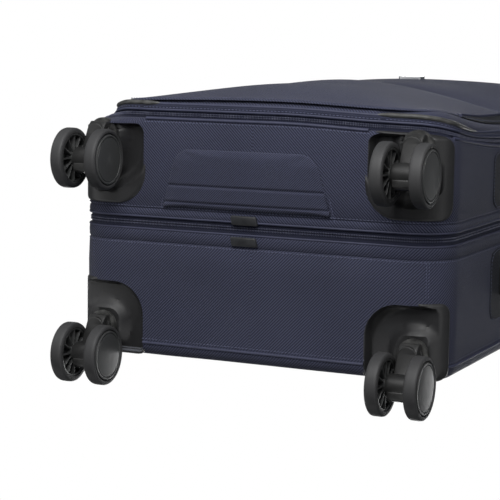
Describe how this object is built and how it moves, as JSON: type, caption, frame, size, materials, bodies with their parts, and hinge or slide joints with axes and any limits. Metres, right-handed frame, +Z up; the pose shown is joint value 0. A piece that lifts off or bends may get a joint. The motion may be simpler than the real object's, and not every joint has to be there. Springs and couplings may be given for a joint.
{
  "type": "softside upright suitcase",
  "caption": "Softside upright suitcase: expandable padded-fabric case with a zip lid and front pockets, twin-wheel swivel casters, and a two-stage pull handle.",
  "frame": {"origin": "middle of the suitcase's bounding box, on the floor that the casters stand on", "axes": "+Z up along the height, -Y towards the front pockets, +X to the right seen from the front"},
  "size_m": [0.378, 0.276, 0.5495],
  "materials": {
    "navy_fabric": "fine ballistic twill",
    "lining_fabric": "smooth polyester",
    "zipper_tape": "woven tape",
    "black_plastic": "fine moulded grain",
    "wheel_plastic": "satin moulded",
    "tyre": "polyurethane tread",
    "steel": "plated",
    "aluminium_tube": "anodised",
    "grip_rubber": "soft touch",
    "button_plastic": "satin",
    "dark_metal": "gunmetal"
  },
  "bodies": {
    "root": {"rear_shell": "navy_fabric", "back_panel": "navy_fabric", "expansion_gusset": "lining_fabric", "expansion_zipper_rear_tape": "zipper_tape", "side_feet": "black_plastic", "divider_panel": "lining_fabric", "handle_outer_tubes": "aluminium_tube", "handle_base_bracket": "black_plastic", "handle_cup": "black_plastic", "carry_handle_anchors": "black_plastic", "carry_handle_straps": "zipper_tape", "rear_swivel_collars": "black_plastic", "wheel_housing_rear_left": "black_plastic", "wheel_housing_rear_right": "black_plastic"},
    "front_half": {"front_shell": "navy_fabric", "main_zipper_body_half": "zipper_tape", "expansion_zipper_front_tape": "zipper_tape", "base_pad": "navy_fabric", "frame_rod": "steel", "front_swivel_collars": "black_plastic", "wheel_housing_front_left": "black_plastic", "wheel_housing_front_right": "black_plastic", "lid_hinge_tape": "zipper_tape"},
    "lid": {"lid_shell": "navy_fabric", "main_zipper_lid_half": "zipper_tape", "lower_pocket": "navy_fabric", "upper_pocket": "navy_fabric", "corner_guards": "grip_rubber"},
    "handle_stage_1": {"handle_stage_1_tubes": "aluminium_tube"},
    "handle_stage_2": {"handle_stage_2_tubes": "aluminium_tube", "handle_grip": "grip_rubber"},
    "release_button": {"release_button": "button_plastic"},
    "top_handle": {"top_handle": "grip_rubber"},
    "side_handle": {"side_handle": "grip_rubber"},
    "zipper_slider": {"main_zipper_slider": "dark_metal"},
    "zipper_pull": {"main_zipper_pull": "dark_metal"},
    "caster_front_left": {"caster_fork_front_left": "black_plastic", "caster_axle_front_left": "steel"},
    "wheel_front_left_outer": {"wheel_core_front_left_outer": "wheel_plastic", "wheel_tyre_front_left_outer": "tyre"},
    "wheel_front_left_inner": {"wheel_core_front_left_inner": "wheel_plastic", "wheel_tyre_front_left_inner": "tyre"},
    "caster_front_right": {"caster_fork_front_right": "black_plastic", "caster_axle_front_right": "steel"},
    "wheel_front_right_outer": {"wheel_core_front_right_outer": "wheel_plastic", "wheel_tyre_front_right_outer": "tyre"},
    "wheel_front_right_inner": {"wheel_core_front_right_inner": "wheel_plastic", "wheel_tyre_front_right_inner": "tyre"},
    "caster_rear_left": {"caster_fork_rear_left": "black_plastic", "caster_axle_rear_left": "steel"},
    "wheel_rear_left_outer": {"wheel_core_rear_left_outer": "wheel_plastic", "wheel_tyre_rear_left_outer": "tyre"},
    "wheel_rear_left_inner": {"wheel_core_rear_left_inner": "wheel_plastic", "wheel_tyre_rear_left_inner": "tyre"},
    "caster_rear_right": {"caster_fork_rear_right": "black_plastic", "caster_axle_rear_right": "steel"},
    "wheel_rear_right_outer": {"wheel_core_rear_right_outer": "wheel_plastic", "wheel_tyre_rear_right_outer": "tyre"},
    "wheel_rear_right_inner": {"wheel_core_rear_right_inner": "wheel_plastic", "wheel_tyre_rear_right_inner": "tyre"}
  },
  "joints": [
    {"name": "expansion_slide", "type": "slide", "parent": "root", "child": "front_half", "axis": [0, -1, 0], "range_m": [0, 0.04], "deforming": ["expansion_gusset"]},
    {"name": "lid_hinge", "type": "hinge", "parent": "front_half", "child": "lid", "pos_m": [-0.1785, -0.084, 0.2955], "axis": [0, 0, -1], "range_deg": [0, 150], "deforming": ["lid_hinge_tape"]},
    {"name": "handle_stage_1_slide", "type": "slide", "parent": "root", "child": "handle_stage_1", "axis": [0, 0, 1], "range_m": [0, 0.235]},
    {"name": "handle_stage_2_slide", "type": "slide", "parent": "handle_stage_1", "child": "handle_stage_2", "axis": [0, 0, 1], "range_m": [0, 0.235]},
    {"name": "release_button_press", "type": "slide", "parent": "handle_stage_2", "child": "release_button", "axis": [0, 0, -1], "range_m": [0, 0.003], "stiffness_N_per_m": 500},
    {"name": "top_handle_lift", "type": "slide", "parent": "root", "child": "top_handle", "axis": [0, 0, 1], "range_m": [0, 0.01], "deforming": ["carry_handle_straps"]},
    {"name": "side_handle_lift", "type": "slide", "parent": "root", "child": "side_handle", "axis": [1, 0, 0], "range_m": [0, 0.01]},
    {"name": "zipper_slider_run", "type": "slide", "parent": "front_half", "child": "zipper_slider", "axis": [0, 0, -1], "range_m": [0, 0.09]},
    {"name": "zipper_pull_swing", "type": "hinge", "parent": "zipper_slider", "child": "zipper_pull", "pos_m": [0.1792, -0.084, 0.333], "axis": [0, -1, 0], "range_deg": [0, 135]},
    {"name": "swivel_front_left", "type": "hinge", "parent": "front_half", "child": "caster_front_left", "pos_m": [-0.1505, -0.087, 0.057], "axis": [0, 0, 1], "continuous": true},
    {"name": "spin_front_left_outer", "type": "hinge", "parent": "caster_front_left", "child": "wheel_front_left_outer", "pos_m": [-0.16755, -0.065, 0.027], "axis": [1, 0, 0], "continuous": true},
    {"name": "spin_front_left_inner", "type": "hinge", "parent": "caster_front_left", "child": "wheel_front_left_inner", "pos_m": [-0.13345, -0.065, 0.027], "axis": [1, 0, 0], "continuous": true},
    {"name": "swivel_front_right", "type": "hinge", "parent": "front_half", "child": "caster_front_right", "pos_m": [0.1505, -0.087, 0.057], "axis": [0, 0, 1], "continuous": true},
    {"name": "spin_front_right_outer", "type": "hinge", "parent": "caster_front_right", "child": "wheel_front_right_outer", "pos_m": [0.16755, -0.065, 0.027], "axis": [1, 0, 0], "continuous": true},
    {"name": "spin_front_right_inner", "type": "hinge", "parent": "caster_front_right", "child": "wheel_front_right_inner", "pos_m": [0.13345, -0.065, 0.027], "axis": [1, 0, 0], "continuous": true},
    {"name": "swivel_rear_left", "type": "hinge", "parent": "root", "child": "caster_rear_left", "pos_m": [-0.1505, 0.089, 0.057], "axis": [0, 0, 1], "continuous": true},
    {"name": "spin_rear_left_outer", "type": "hinge", "parent": "caster_rear_left", "child": "wheel_rear_left_outer", "pos_m": [-0.16755, 0.111, 0.027], "axis": [1, 0, 0], "continuous": true},
    {"name": "spin_rear_left_inner", "type": "hinge", "parent": "caster_rear_left", "child": "wheel_rear_left_inner", "pos_m": [-0.13345, 0.111, 0.027], "axis": [1, 0, 0], "continuous": true},
    {"name": "swivel_rear_right", "type": "hinge", "parent": "root", "child": "caster_rear_right", "pos_m": [0.1505, 0.089, 0.057], "axis": [0, 0, 1], "continuous": true},
    {"name": "spin_rear_right_outer", "type": "hinge", "parent": "caster_rear_right", "child": "wheel_rear_right_outer", "pos_m": [0.16755, 0.111, 0.027], "axis": [1, 0, 0], "continuous": true},
    {"name": "spin_rear_right_inner", "type": "hinge", "parent": "caster_rear_right", "child": "wheel_rear_right_inner", "pos_m": [0.13345, 0.111, 0.027], "axis": [1, 0, 0], "continuous": true}
  ]
}
